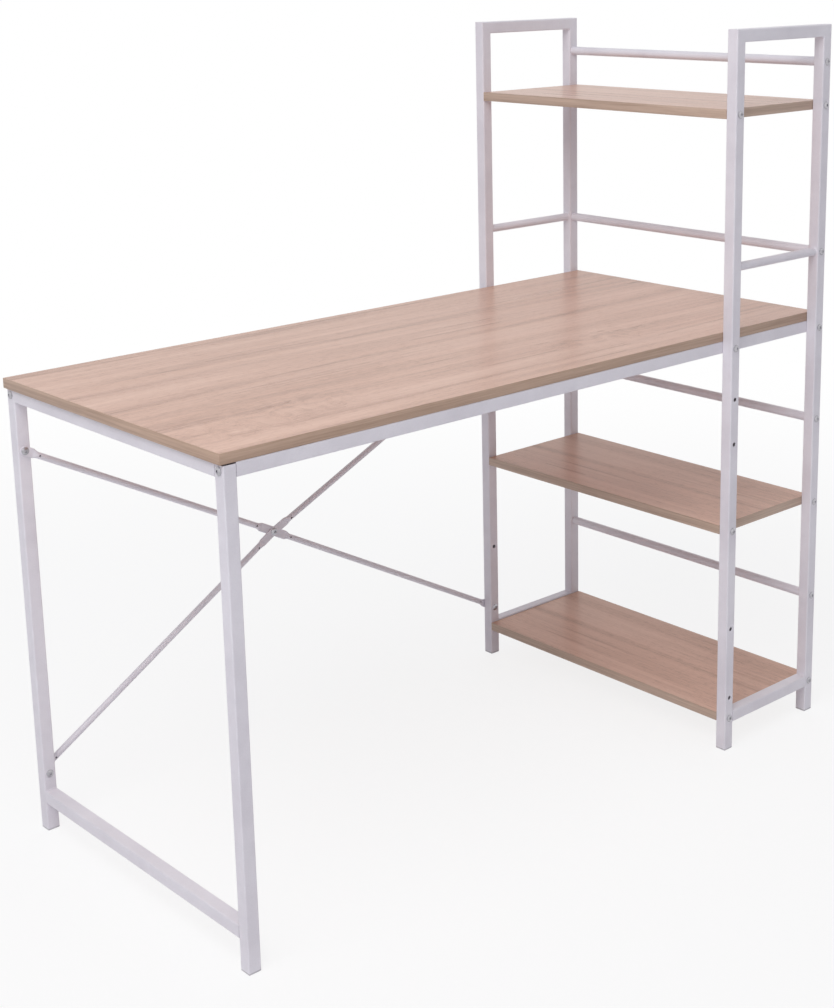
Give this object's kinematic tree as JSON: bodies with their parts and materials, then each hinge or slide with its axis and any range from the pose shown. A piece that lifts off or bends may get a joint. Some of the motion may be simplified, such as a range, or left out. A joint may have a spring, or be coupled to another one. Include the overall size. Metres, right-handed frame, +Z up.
{
  "type": "bookcase desk",
  "caption": "Writing desk with an open bookcase at its right end: bolted white square-tube steel frame, oak-look desktop and shelves, round back rods and a cross brace.",
  "frame": {"origin": "on the floor, under the centre of the whole desk's box", "axes": "+X along the desk from the leg frame to the bookcase, +Y from the front to the back, +Z up"},
  "size_m": [1.2, 0.6114, 1.2],
  "materials": {
    "oak_face": "oak-look melamine, matt, fine grain",
    "oak_edge": "oak-look edge band, matt",
    "white_steel": "white powder coat, satin",
    "zinc": "bright zinc plate",
    "cap_plastic": "moulded plastic, matt"
  },
  "bodies": {
    "root": {"back_rod_lower": "white_steel", "back_rod_middle": "white_steel", "back_rod_top": "white_steel", "back_rod_upper": "white_steel", "bottom_shelf": "oak_face", "bottom_shelf_edge_band": "oak_edge", "brace_bolts": "zinc", "brace_cross_bolt": "zinc", "brace_nuts": "zinc", "brace_strut_falling": "white_steel", "brace_strut_rising": "white_steel", "desktop": "oak_face", "desktop_edge_band": "oak_edge", "desktop_screws": "zinc", "front_bottom_rail": "white_steel", "front_desk_rail": "white_steel", "front_inner_foot": "cap_plastic", "front_outer_foot": "cap_plastic", "front_post_inner": "white_steel", "front_post_outer": "white_steel", "front_rail_cap": "cap_plastic", "front_side_rod": "white_steel", "front_top_bar": "white_steel", "leg_bolts": "zinc", "leg_bottom_rail": "white_steel", "leg_front": "white_steel", "leg_front_foot": "cap_plastic", "leg_rear": "white_steel", "leg_rear_foot": "cap_plastic", "leg_top_rail": "white_steel", "middle_shelf": "oak_face", "middle_shelf_edge_band": "oak_edge", "rail_bolts": "zinc", "rail_end_plugs": "zinc", "rail_nuts": "zinc", "rear_bottom_rail": "white_steel", "rear_desk_rail": "white_steel", "rear_inner_foot": "cap_plastic", "rear_outer_foot": "cap_plastic", "rear_post_inner": "white_steel", "rear_post_outer": "white_steel", "rear_rail_cap": "cap_plastic", "rear_side_rod": "white_steel", "rear_top_bar": "white_steel", "rod_bolts": "zinc", "rod_end_plugs": "zinc", "shelf_bolts": "zinc", "shelf_inserts": "zinc", "top_shelf": "oak_face", "top_shelf_edge_band": "oak_edge"}
  },
  "joints": []
}
